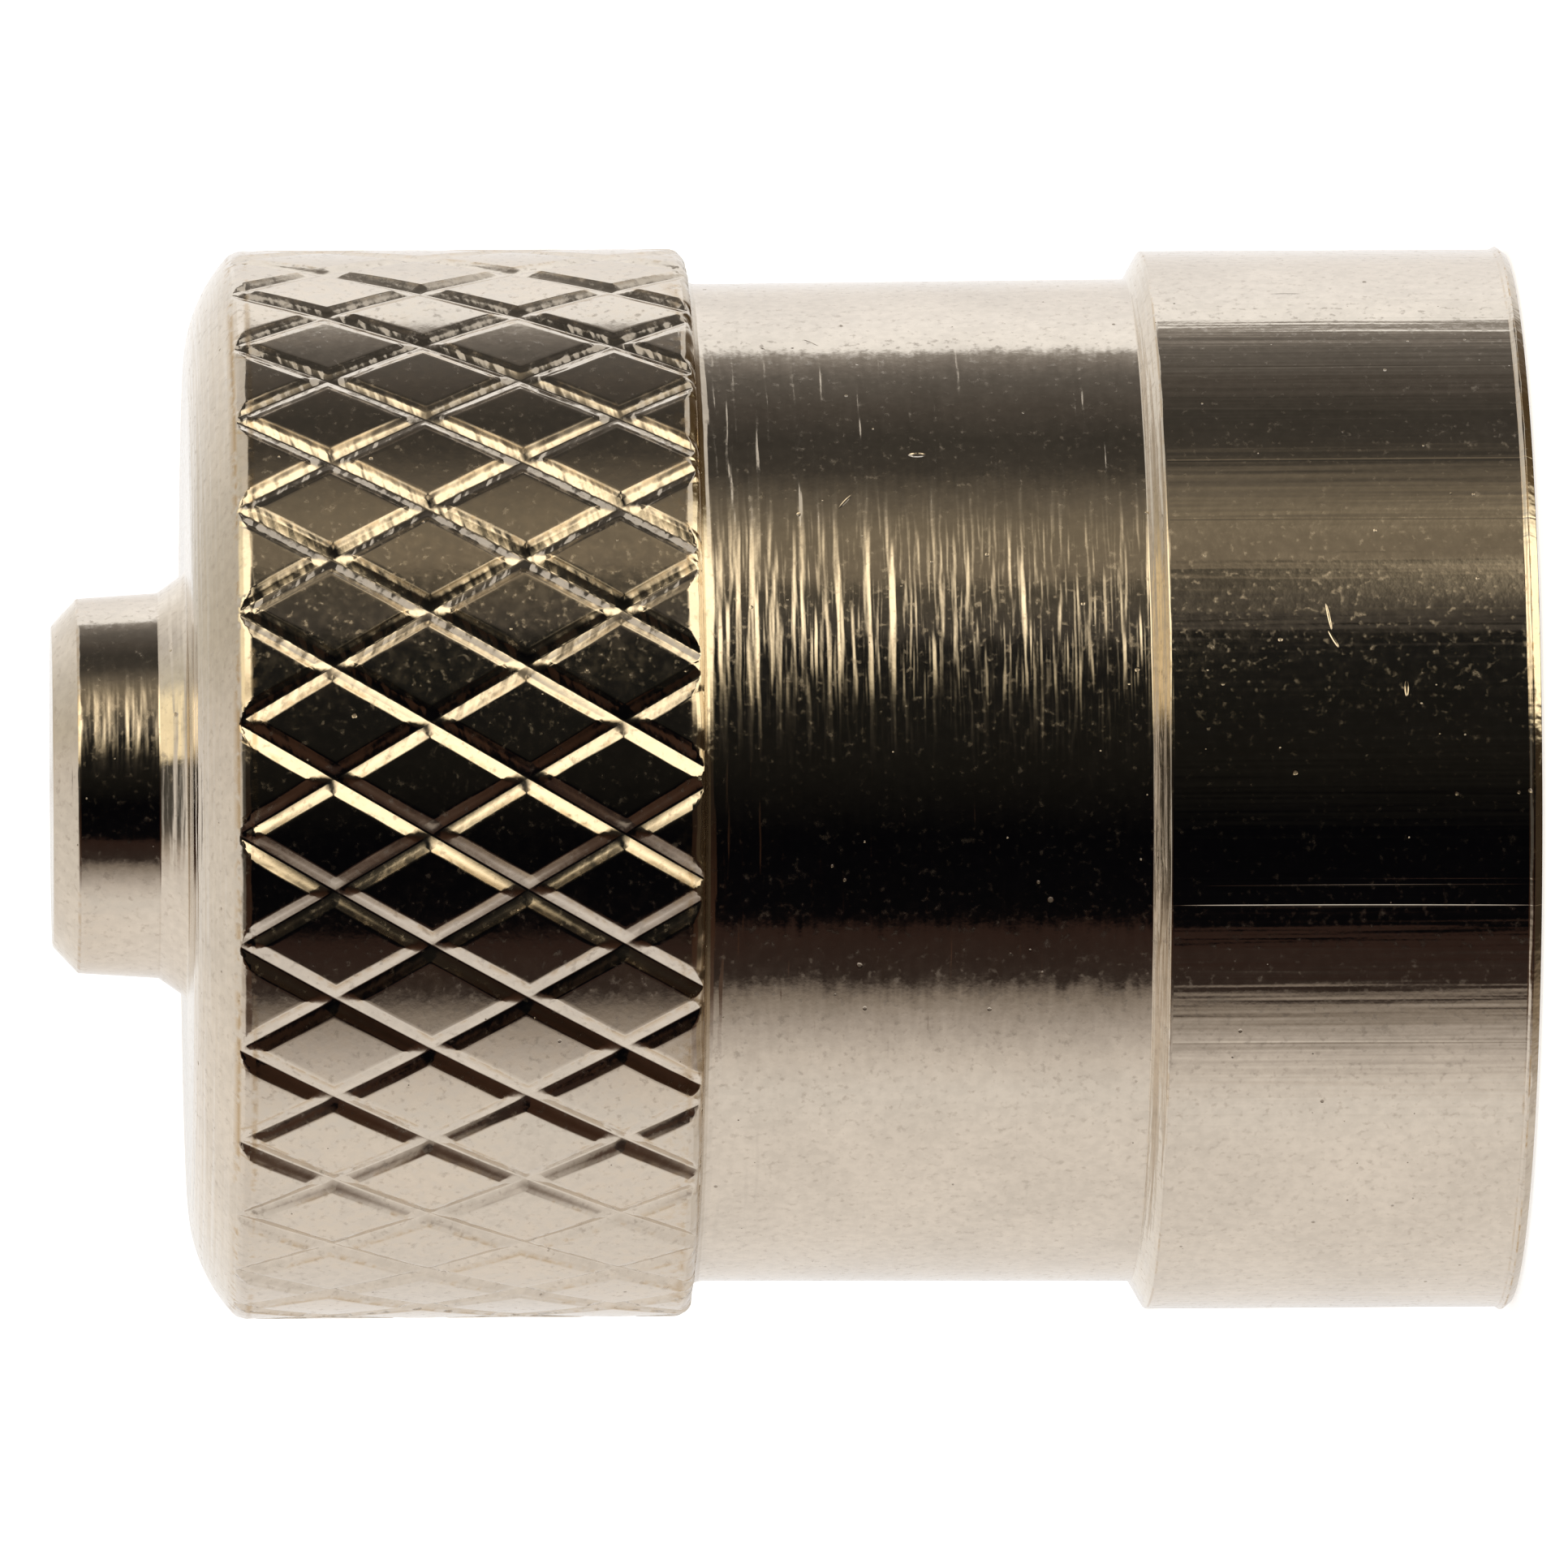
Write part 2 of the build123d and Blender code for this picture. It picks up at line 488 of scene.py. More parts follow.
def thread_ring_grid(turned, sizes, start, finish):
    """The internal thread from a ring at the mouth, in rows that climb with the thread."""
    bm = turned.bm
    angles = [turn for turn, vert in start]
    rows_per_turn, half_crest, flank = 9, 0.0625, 0.3125
    columns, rows = len(angles), rows_per_turn
    low = start[0][1].co.z
    high = sizes.relief_start
    total = math.ceil(rows * (1 + (high - low) / sizes.thread_pitch)) + 1

    def reach(turn, height):
        phase = (height / sizes.thread_pitch - turn / (2 * math.pi)) % 1.0
        wave = min(max((abs(phase - 0.5) - half_crest) / flank, 0.0), 1.0)
        chamfer = sizes.bore_radius + sizes.mouth_chamfer - height
        return max(sizes.bore_radius + sizes.thread_depth * (1 - wave), chamfer)

    grid = []
    for column, turn in enumerate(angles):
        line = []
        for row in range(total + 1):
            height = low + sizes.thread_pitch * (row / rows - 1 + column / columns)
            height = min(max(height, low), high)
            distance = reach(turn, height)
            line.append(bm.verts.new((distance * math.cos(turn), distance * math.sin(turn), height)))
        grid.append(line)
    for column in range(columns):
        for row in range(total):
            here = grid[column]
            after = grid[(column + 1) % columns]
            lift = rows if column + 1 == columns else 0
            if row + 1 + lift > total:
                continue
            corners = [here[row], after[row + lift], after[row + 1 + lift], here[row + 1]]
            heights = [vert.co.z for vert in corners]
            if max(heights) - min(heights) < 1e-9:
                continue
            bm.faces.new(corners).material_index = finish
    return [(turn, line[-1]) for turn, line in zip(angles, grid)]


# Finishes


def put(tree, kind, inputs=None, **settings):
    """A node with its settings and inputs. An input is a value or another node's output."""
    made = tree.nodes.new(kind)
    for name, value in settings.items():
        setattr(made, name, value)
    for key, value in (inputs or {}).items():
        if isinstance(value, bpy.types.NodeSocket):
            tree.links.new(value, made.inputs[key])
        else:
            made.inputs[key].default_value = value
    return made


def calc(tree, operation, first, second=0.0, third=0.0):
    """The output of a Math node."""
    return put(tree, "ShaderNodeMath", {0: first, 1: second, 2: third}, operation=operation).outputs[0]


def spread(tree, value, low, high, start=0.0, end=1.0):
    """A value mapped smoothly from one range to another."""
    made = put(
        tree,
        "ShaderNodeMapRange",
        {"Value": value, "From Min": low, "From Max": high, "To Min": start, "To Max": end},
        interpolation_type="SMOOTHSTEP",
    )
    return made.outputs["Result"]


def vector(tree, operation, first, second=(0.0, 0.0, 0.0)):
    """The output of a Vector Math node that gives a vector."""
    return put(tree, "ShaderNodeVectorMath", {0: first, 1: second}, operation=operation).outputs[0]


def dot(tree, first, second):
    """The dot product of two vectors."""
    inputs = {0: first, 1: second}
    return put(tree, "ShaderNodeVectorMath", inputs, operation="DOT_PRODUCT").outputs["Value"]


def blend(tree, factor, first, second):
    """Two colours mixed by a factor."""
    inputs = {"Factor": factor, "A": first, "B": second}
    return put(tree, "ShaderNodeMix", inputs, data_type="RGBA").outputs["Result"]


def cloud(tree, place, scale, detail):
    """Noise that is even in all directions."""
    inputs = {"Vector": place, "Scale": scale, "Detail": detail}
    return put(tree, "ShaderNodeTexNoise", inputs).outputs[0]


def ramp(tree, value, stops):
    """The colour of a ramp whose stops are given as a place from 0 to 1 and a colour."""
    made = put(tree, "ShaderNodeValToRGB", {"Fac": value})
    elements = made.color_ramp.elements
    while len(elements) < len(stops):
        elements.new(0.5)
    for element, (place, shade) in zip(elements, stops):
        element.position = place
    for element, (place, shade) in zip(elements, stops):
        element.color = (*shade, 1.0)
    return made.outputs["Color"]


FLOAT, COLOUR = "NodeSocketFloat", "NodeSocketColor"


def new_group(name, inputs, outputs):
    """A shader node group, from its inputs' defaults and its outputs' kinds, with its two end nodes."""
    group = bpy.data.node_groups.new(name, "ShaderNodeTree")
    for label, default in inputs.items():
        kind = FLOAT if isinstance(default, float) else COLOUR
        group.interface.new_socket(label, in_out="INPUT", socket_type=kind).default_value = default
    for label, kind in outputs.items():
        group.interface.new_socket(label, in_out="OUTPUT", socket_type=kind)
    return group, put(group, "NodeGroupInput"), put(group, "NodeGroupOutput")


def millimetres(tree):
    """Object coordinates in millimetres."""
    coordinates = put(tree, "ShaderNodeTexCoord").outputs["Object"]
    return vector(tree, "MULTIPLY", coordinates, (1000.0, 1000.0, 1000.0))


def split_axes(tree, place):
    """The X, Y and Z of a vector."""
    return put(tree, "ShaderNodeSeparateXYZ", {0: place}).outputs


def stretched_noise(tree, around, axial, x, y, along, detail=2.0, roughness=0.5):
    """Noise with its own scale round the axis and along the section."""
    place = put(
        tree,
        "ShaderNodeCombineXYZ",
        {
            "X": calc(tree, "MULTIPLY", x, around),
            "Y": calc(tree, "MULTIPLY", y, around),
            "Z": calc(tree, "MULTIPLY", along, axial),
        },
    )
    inputs = {"Vector": place.outputs[0], "Scale": 1.0, "Detail": detail, "Roughness": roughness}
    return put(tree, "ShaderNodeTexNoise", inputs).outputs[0]


def turning_marks_group():
    """Streaks round the axis that a lathe tool leaves. Height in millimetres."""
    group, start, end = new_group(
        "Turning marks",
        {"Depth": 0.04, "Across": 4.0, "Around": 0.3, "Waves": 0.0},
        {"Height": FLOAT},
    )
    x, y, z = split_axes(group, millimetres(group))
    reach = calc(group, "SQRT", calc(group, "MULTIPLY_ADD", x, x, calc(group, "MULTIPLY", y, y)))
    along = calc(group, "SUBTRACT", z, reach)
    across, around = start.outputs["Across"], start.outputs["Around"]
    streaks = stretched_noise(group, around, across, x, y, along, 1.0, 0.4)
    short_around = calc(group, "MULTIPLY", around, 4.0)
    short_across = calc(group, "MULTIPLY", across, 1.9)
    short = stretched_noise(group, short_around, short_across, x, y, along, 1.0, 0.4)
    both = calc(group, "MULTIPLY_ADD", short, 0.4, streaks)
    strong_side = math.radians(-55)
    turn = calc(group, "SUBTRACT", calc(group, "ARCTAN2", y, x), strong_side)
    wave = calc(group, "COSINE", calc(group, "MULTIPLY", turn, start.outputs["Waves"]))
    strength = spread(group, wave, -0.3, 0.8, 0.12, 1.0)
    depth = calc(group, "MULTIPLY", start.outputs["Depth"], strength)
    group.links.new(calc(group, "MULTIPLY", both, depth), end.inputs["Height"])
    return group


def draw_lines_group():
    """Fine straight lines along the axis, left by drawing the bar. Height in millimetres."""
    group, start, end = new_group(
        "Draw lines", {"Depth": 0.003, "Around": 6.0}, {"Height": FLOAT}
    )
    x, y, z = split_axes(group, millimetres(group))
    around = start.outputs["Around"]
    lines = stretched_noise(group, around, 0.1, x, y, z)
    fine = stretched_noise(group, calc(group, "MULTIPLY", around, 2.4), 0.4, x, y, z, 1.0)
    wide = stretched_noise(group, calc(group, "MULTIPLY", around, 0.3), 0.012, x, y, z, 1.0)
    off = calc(group, "ABSOLUTE", calc(group, "SUBTRACT", wide, 0.5))
    narrow = spread(group, off, 0.0, 0.022, 1.0, 0.0)
    scored = calc(group, "MULTIPLY", narrow, spread(group, lines, 0.45, 0.6))
    both = calc(group, "MULTIPLY_ADD", fine, 0.5, lines)
    both = calc(group, "MULTIPLY_ADD", scored, -0.25, both)
    group.links.new(calc(group, "MULTIPLY", both, start.outputs["Depth"]), end.inputs["Height"])
    return group


def specks_group():
    """Fine grain and scattered rough specks in the plating. Height in millimetres, and a mask."""
    group, start, end = new_group(
        "Grain and specks",
        {"Depth": 0.0006, "Density": 5.0, "Share": 0.5, "Haze": 0.45},
        {"Height": FLOAT, "Mask": FLOAT},
    )
    speck_depth, least_size, size_range = 0.003, 0.009, 0.022
    place = millimetres(group)
    grain = cloud(group, place, 15.0, 2.0)
    cells = put(group, "ShaderNodeTexVoronoi", {"Vector": place, "Scale": start.outputs["Density"]})
    away = calc(group, "DIVIDE", cells.outputs["Distance"], start.outputs["Density"])
    chance = put(group, "ShaderNodeSeparateColor", {0: cells.outputs["Color"]})
    rare = calc(group, "POWER", chance.outputs[1], 4.0)
    size = calc(group, "MULTIPLY_ADD", rare, size_range, least_size)
    kept = calc(group, "LESS_THAN", chance.outputs[0], start.outputs["Share"])
    ragged = calc(group, "MULTIPLY", size, calc(group, "MULTIPLY_ADD", grain, 1.6, 0.2))
    speck = spread(group, calc(group, "DIVIDE", away, ragged), 0.4, 1.0, 1.0, 0.0)
    mask = calc(group, "MULTIPLY", speck, kept)
    haze = spread(group, grain, 0.54, 0.76, 0.0, start.outputs["Haze"])
    grained = calc(group, "MULTIPLY", grain, start.outputs["Depth"])
    dented = calc(group, "MULTIPLY_ADD", mask, -speck_depth, grained)
    group.links.new(dented, end.inputs["Height"])
    group.links.new(calc(group, "MAXIMUM", mask, haze), end.inputs["Mask"])
    return group


# Dents and scratches: angle and height on the cap, lean from the axis, half length, half width and depth.
# Angles are in degrees and lengths in millimetres.
HANDLING_MARKS = (
    (-50.0, 5.715, 0.0, 0.09, 0.03, 0.007),
    (-29.5, 6.645, 45.0, 0.10, 0.016, 0.003),
    (-56.5, 6.4, -50.0, 0.11, 0.016, 0.002),
    (-72.5, 1.96, 79.0, 0.14, 0.012, 0.003),
    (-75.0, 1.92, 60.0, 0.10, 0.014, 0.003),
    (-80.4, 1.252, 90.0, 0.08, 0.02, 0.004),
    (-24.6, 2.17, 0.0, 0.16, 0.016, 0.003),
    (-103.6, 1.7, 0.3, 1.9, 0.012, 0.004),
    (-101.4, 1.6, 0.0, 1.8, 0.01, 0.0012),
)


def handling_marks_group():
    """A few dents and scratches at set places. Height in millimetres."""
    group, start, end = new_group("Handling marks", {"Strength": 1.0}, {"Height": FLOAT})
    place = millimetres(group)
    upright = Vector((0.0, 0.0, 1.0))
    total = 0.0
    for turn, height, lean, half_length, half_width, depth in HANDLING_MARKS:
        turn, lean = math.radians(turn), math.radians(lean)
        outward = Vector((math.cos(turn), math.sin(turn), 0.0))
        sideways = Vector((-math.sin(turn), math.cos(turn), 0.0))
        run = (upright * math.cos(lean) + sideways * math.sin(lean)) / half_length
        side = (sideways * math.cos(lean) - upright * math.sin(lean)) / half_width
        from_centre = vector(group, "SUBTRACT", place, upright * height)
        shares = [dot(group, from_centre, axis) for axis in (run, side)]
        squares = [calc(group, "MULTIPLY", share, share) for share in shares]
        dent = spread(group, calc(group, "ADD", *squares), 0.0, 1.0, depth, 0.0)
        facing = calc(group, "GREATER_THAN", dot(group, place, outward), 0.0)
        total = calc(group, "MULTIPLY_ADD", dent, facing, total)
    sunk = calc(group, "MULTIPLY", start.outputs["Strength"], -1.0)
    group.links.new(calc(group, "MULTIPLY", total, sunk), end.inputs["Height"])
    return group


def plating_group():
    """Plating with a slow change of tone, worn through to brass on the edges, and a roughness."""
    group, start, end = new_group(
        "Worn plating",
        {
            "Nickel": (0.66, 0.585, 0.49, 1.0),
            "Brass": (0.8, 0.6, 0.3, 1.0),
            "Wear": 0.6,
            "Polish": 0.12,
            "Specks": 0.0,
        },
        {"Color": COLOUR, "Roughness": FLOAT},
    )
    tarnish = (0.17, 0.12, 0.08, 1.0)
    speck_share, worn_roughness = 0.42, 0.2
    place = millimetres(group)
    slow = cloud(group, place, 0.9, 2.0)
    fine = cloud(group, place, 10.0, 2.0)
    slow_tone = spread(group, slow, 0.3, 0.7, 0.94, 1.03)
    tone = calc(group, "ADD", slow_tone, spread(group, fine, 0.3, 0.7, -0.05, 0.045))
    plain = {0: start.outputs["Nickel"], "Scale": tone}
    plating = put(group, "ShaderNodeVectorMath", plain, operation="SCALE").outputs[0]
    specks = calc(group, "MULTIPLY", start.outputs["Specks"], speck_share)
    dulled = blend(group, specks, plating, tarnish)
    edge = put(group, "ShaderNodeAttribute", attribute_name="edge_wear").outputs["Fac"]
    patchy = spread(group, calc(group, "MULTIPLY_ADD", fine, 0.9, slow), 0.85, 1.1)
    worn = calc(group, "MULTIPLY", calc(group, "MULTIPLY", edge, patchy), start.outputs["Wear"])
    mixed = blend(group, worn, dulled, start.outputs["Brass"])
    uneven = spread(group, fine, 0.2, 0.8, 0.75, 1.3)
    rough = calc(group, "MULTIPLY", start.outputs["Polish"], uneven)
    rough = calc(group, "MULTIPLY_ADD", worn, worn_roughness, rough)
    group.links.new(mixed, end.inputs["Color"])
    group.links.new(calc(group, "ADD", specks, rough), end.inputs["Roughness"])
    return group


def group_of(name, maker):
    """A node group by name, made the first time it is asked for."""
    return bpy.data.node_groups.get(name) or maker()


def new_material(name):
    """An empty node material with its output."""
    material = bpy.data.materials.new(name)
    material.use_nodes = True
    tree = material.node_tree
    tree.nodes.clear()
    return material, tree, put(tree, "ShaderNodeOutputMaterial")


def show_surface(tree, output, height, strength, inputs):
    """A Principled shader with a bump, linked to the material's output."""
    bump = put(tree, "ShaderNodeBump", {"Height": height, "Distance": MM, "Strength": strength})
    shader = put(tree, "ShaderNodeBsdfPrincipled", {**inputs, "Normal": bump.outputs["Normal"]})
    tree.links.new(shader.outputs[0], output.inputs["Surface"])


def nickel_material(
    name, polish, wear, turned=None, drawn=None, specks=None, groove_only=False, handled=False
):
    """Nickel plating over brass, with specks, worn edges, lathe marks, draw lines or handling marks."""
    colours = bpy.context.scene.valve_cap_colours
    material, tree, output = new_material(name)

    def effect(label, maker, values):
        return put(tree, "ShaderNodeGroup", values, node_tree=group_of(label, maker)).outputs

    specks = effect("Grain and specks", specks_group, specks)
    finish = {
        "Nickel": (*colours.nickel, 1.0),
        "Brass": (*colours.brass, 1.0),
        "Wear": wear,
        "Polish": polish,
        "Specks": specks["Mask"],
    }
    plating = effect("Worn plating", plating_group, finish)
    height = specks["Height"]
    if turned:
        marks = effect("Turning marks", turning_marks_group, turned)["Height"]
        if groove_only:
            groove = put(tree, "ShaderNodeAttribute", attribute_name="groove").outputs["Fac"]
            marks = calc(tree, "MULTIPLY", marks, spread(tree, groove, 0.0, 0.4, 0.03, 1.0))
        height = calc(tree, "ADD", height, marks)
    if drawn:
        height = calc(tree, "ADD", height, effect("Draw lines", draw_lines_group, drawn)["Height"])
    if handled:
        marks = effect("Handling marks", handling_marks_group, {})["Height"]
        height = calc(tree, "ADD", height, marks)
    inputs = {"Base Color": plating["Color"], "Roughness": plating["Roughness"], "Metallic": 1.0}
    show_surface(tree, output, height, 1.0, inputs)
    return material


def rubber_material():
    """Black moulded rubber with a fine grain and pale bloom."""
    colours = bpy.context.scene.valve_cap_colours
    material, tree, output = new_material("seal rubber")
    grain_depth, bloom_colour = 0.02, (0.05, 0.048, 0.045, 1.0)
    place = millimetres(tree)
    grain = cloud(tree, place, 14.0, 5.0)
    bloom = spread(tree, cloud(tree, place, 1.3, 3.0), 0.45, 0.75)
    inputs = {
        "Base Color": blend(tree, bloom, (*colours.rubber, 1.0), bloom_colour),
        "Roughness": spread(tree, grain, 0.3, 0.7, 0.55, 0.75),
    }
    show_surface(tree, output, calc(tree, "MULTIPLY", grain, grain_depth), 0.6, inputs)
    return material


# Pieces


class BuildCapBody(Operator):
    """Build the knurled body with its threaded bore and plated finishes"""

    bl_idname = "valve_cap.build_body"
    bl_label = "Cap Body"

    def execute(self, context):
        sizes = context.scene.valve_cap_body
        rolled = {"Depth": 0.013, "Across": 6.5, "Around": 0.8, "Waves": 3.0}
        streaked = {"Depth": 0.0165, "Across": 7.4, "Around": 0.42}
        faced = {"Depth": 0.009, "Across": 7.4, "Around": 0.5}
        drilled = {"Depth": 0.02, "Across": 6.0, "Around": 0.4}
        lined = {"Depth": 0.0042, "Around": 6.0}
        sparse = {"Haze": 0.45, "Share": 0.25}
        materials = [
            nickel_material("knurled nickel", 0.1, 0.9, rolled, specks=sparse, groove_only=True),
            nickel_material("turned nickel", 0.09, 0.8, streaked, handled=True),
            nickel_material("drawn nickel", 0.08, 0.9, drawn=lined, handled=True),
            nickel_material("bore nickel", 0.3, 0.4, drilled),
            nickel_material("faced nickel", 0.09, 0.8, faced),
        ]
        knurled, turned_finish, drawn, bore, faced_finish = range(5)
        turned = TurnedMesh()
        corner_turn = math.pi / 2 - sizes.shoulder_angle
        run_out_radius = sizes.knurl_radius - sizes.shoulder_corner * (1 - math.cos(corner_turn))
        run_out = sizes.knurl_end + sizes.shoulder_corner * math.sin(corner_turn)
        add_knurl(turned, sizes, run_out, knurled)
        top = ring_at(turned, run_out)
        bottom = ring_at(turned, sizes.knurl_start)
        columns = even_angles(320)

        # Shoulder, end face and nub
        face_radius = run_out_radius - sizes.shoulder_radius * math.sin(sizes.shoulder_angle)
        face_edge = (face_radius - 0.25 * MM, sizes.face_height)
        shoulder_steps = 14
        shoulder = []
        for step in range(1, shoulder_steps + 1):
            lean = sizes.shoulder_angle * (1 - step / shoulder_steps)
            radius = face_radius + sizes.shoulder_radius * math.sin(lean)
            height = sizes.face_height - sizes.shoulder_radius * (1 - math.cos(lean))
            shoulder.append((radius, height, 0.0))
        shoulder.append((*face_edge, 0.0))
        edge = turned.turn(top, shoulder[:1], turned_finish)
        outer = turned.ring(columns, *shoulder[1])
        turned.zip_rings(edge, outer, turned_finish)
        inner = turned.turn(outer, shoulder[2:], turned_finish)
        nub_top = sizes.face_height + sizes.nub_height
        draft = math.tan(sizes.nub_draft)
        foot_radius = sizes.nub_radius + (sizes.nub_height - sizes.nub_foot_height) * draft
        end_radius = sizes.nub_radius + sizes.nub_chamfer * draft
        side_start = sizes.face_height + sizes.nub_foot_height
        side_end = nub_top - sizes.nub_chamfer
        low_hold, high_hold = 0.07 * MM, 0.06 * MM
        nub = rounded_outline(
            [
                (*face_edge, 0.0, 0.0),
                (foot_radius + sizes.nub_foot_width, sizes.face_height, 0.1 * MM, 0.0),
                (foot_radius, side_start, 0.05 * MM, 0.1),
                (foot_radius - low_hold * draft, side_start + low_hold, 0.0, 0.0),
                (end_radius + high_hold * draft, side_end - high_hold, 0.0, 0.1),
                (end_radius, side_end, 0.06 * MM, 0.6),
                (sizes.nub_radius - sizes.nub_chamfer, nub_top, 0.06 * MM, 0.3),
                (0.3 * MM, nub_top, 0.0, 0.0),
            ],
            5,
        )
        tip = turned.turn(inner, nub[1:], faced_finish)
        turned.close(tip, nub_top, faced_finish)

        # Step below the knurl, waist, collar, rim and mouth
        foot = sizes.waist_end_radius + sizes.knurl_fillet
        step_outer, step_inner = foot + 0.008 * MM, foot + 0.004 * MM
        outer = turned.turn(bottom, [(step_outer, sizes.knurl_start, 1.0)], turned_finish)
        inner = turned.ring(columns, step_inner, sizes.knurl_start, 1.0)
        turned.zip_rings(outer, inner, turned_finish)
        collar_edge = (sizes.collar_radius, sizes.collar_length - 0.03 * MM, 0.0, 0.0)
        waist = rounded_outline(
            [
                (step_inner, sizes.knurl_start, 0.0, 0.0),
                (sizes.waist_end_radius, sizes.knurl_start, sizes.knurl_fillet, 0.0),
                (sizes.waist_radius, sizes.waist_start, 0.02 * MM, 0.2),
                (sizes.collar_radius, sizes.collar_length, sizes.collar_round, 0.6),
                collar_edge,
            ],
            6,
        )
        collar_top = turned.turn(inner, waist[1:], turned_finish)
        lip_radius = sizes.collar_radius + sizes.rim_lip
        mouth_radius = sizes.bore_radius + sizes.mouth_chamfer
        collar = rounded_outline(
            [
                collar_edge,
                (sizes.collar_radius, sizes.rim_chamfer_height + 0.045 * MM, 0.05 * MM, 0.4),
                (lip_radius, sizes.rim_chamfer_height, 0.02 * MM, 1.0),
                (lip_radius - sizes.rim_chamfer_width, 0.0, 0.015 * MM, 0.5),
                (sizes.collar_radius - 0.12 * MM, 0.0, 0.0, 0.0),
                (mouth_radius, 0.0, 0.03 * MM, 0.8),
                (mouth_radius - 0.04 * MM, 0.04 * MM, 0.0, 0.0),
            ]
        )
        mouth = turned.turn(collar_top, collar[1:], drawn)
        turned.chip_edges(0.01 * MM)

        # Thread, washer groove, seat and drilled recess
        thread_columns = even_angles(180)
        drill_half_angle = math.radians(59)
        inner_mouth = turned.ring(thread_columns, mouth_radius - 0.06 * MM, 0.06 * MM)
        turned.zip_rings(mouth, inner_mouth, bore)
        thread_top = thread_ring_grid(turned, sizes, inner_mouth, bore)
        tip_height = sizes.recess_height + sizes.recess_radius / math.tan(drill_half_angle)
        inside = [
            (sizes.relief_radius, sizes.relief_start, 0.0),
            (sizes.relief_radius, sizes.seat_height, 0.0),
            (sizes.recess_radius, sizes.seat_height, 0.0),
            (sizes.recess_radius, sizes.recess_height, 0.0),
            (0.1 * MM, tip_height - 0.06 * MM, 0.0),
        ]
        deep = turned.turn(thread_top, inside, bore)
        turned.close(deep, tip_height, bore)

        body = turned.finish_object("cap_body_plated", materials)
        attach(body, "root")
        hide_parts("cap_body")
        return {"FINISHED"}


class BuildSealWasher(Operator):
    """Build the moulded rubber washer at the bottom of the bore"""

    bl_idname = "valve_cap.build_seal"
    bl_label = "Seal Washer"

    def execute(self, context):
        sizes = context.scene.valve_cap_seal
        turned = TurnedMesh()
        columns = even_angles(144)
        low, high = sizes.bottom, sizes.top
        ring_radius = (sizes.inner_radius + sizes.outer_radius) / 2
        width = 0.3 * MM
        section = rounded_outline(
            [
                (sizes.inner_radius, high - 0.2 * MM, 0.0, 0.0),
                (sizes.inner_radius, low, sizes.edge_round, 0.0),
                (ring_radius - width, low, 0.08 * MM, 0.0),
                (ring_radius - width * 0.6, low + sizes.lip_depth, 0.08 * MM, 0.0),
                (ring_radius + width * 0.6, low + sizes.lip_depth, 0.08 * MM, 0.0),
                (ring_radius + width, low, 0.08 * MM, 0.0),
                (sizes.outer_radius, low, sizes.edge_round, 0.0),
                (sizes.outer_radius, high, 0.06 * MM, 0.0),
                (sizes.inner_radius, high, 0.06 * MM, 0.0),
                (sizes.inner_radius, high - 0.2 * MM, 0.0, 0.0),
            ]
        )
        first = turned.ring(columns, section[0][0], section[0][1])
        last = turned.turn(first, section[1:-1], 0)
        turned.join(last, first, 0)
        washer = turned.finish_object("seal_washer_rubber", [rubber_material()])
        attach(washer, "root")
        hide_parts("seal_washer")
        return {"FINISHED"}


# Stage


def add_floor(radius, shade):
    """A round pale floor that keeps the cap's shadow, is white to the camera and clear from below."""
    bm = bmesh.new()
    bmesh.ops.create_circle(bm, cap_ends=True, segments=96, radius=radius)
    mesh = bpy.data.meshes.new("studio_floor")
    bm.to_mesh(mesh)
    bm.free()
    floor = new_object("studio_floor", mesh)
    material, tree, output = new_material("studio floor")
    diffuse = put(tree, "ShaderNodeBsdfDiffuse", {"Color": (*shade, 1.0)})
    camera_ray = put(tree, "ShaderNodeLightPath").outputs["Is Camera Ray"]
    strength = calc(tree, "MULTIPLY", camera_ray, 0.65)
    lift = put(tree, "ShaderNodeEmission", {"Color": (1, 1, 1, 1), "Strength": strength})
    both = put(tree, "ShaderNodeAddShader", {0: diffuse.outputs[0], 1: lift.outputs[0]})
    underside = put(tree, "ShaderNodeNewGeometry").outputs["Backfacing"]
    clear = put(tree, "ShaderNodeBsdfTransparent")
    shown = put(tree, "ShaderNodeMixShader", {0: underside, 1: both.outputs[0], 2: clear.outputs[0]})
    tree.links.new(shown.outputs[0], output.inputs["Surface"])
    mesh.materials.append(material)
    floor.location.z = -0.02 * MM
    floor.visible_glossy = False


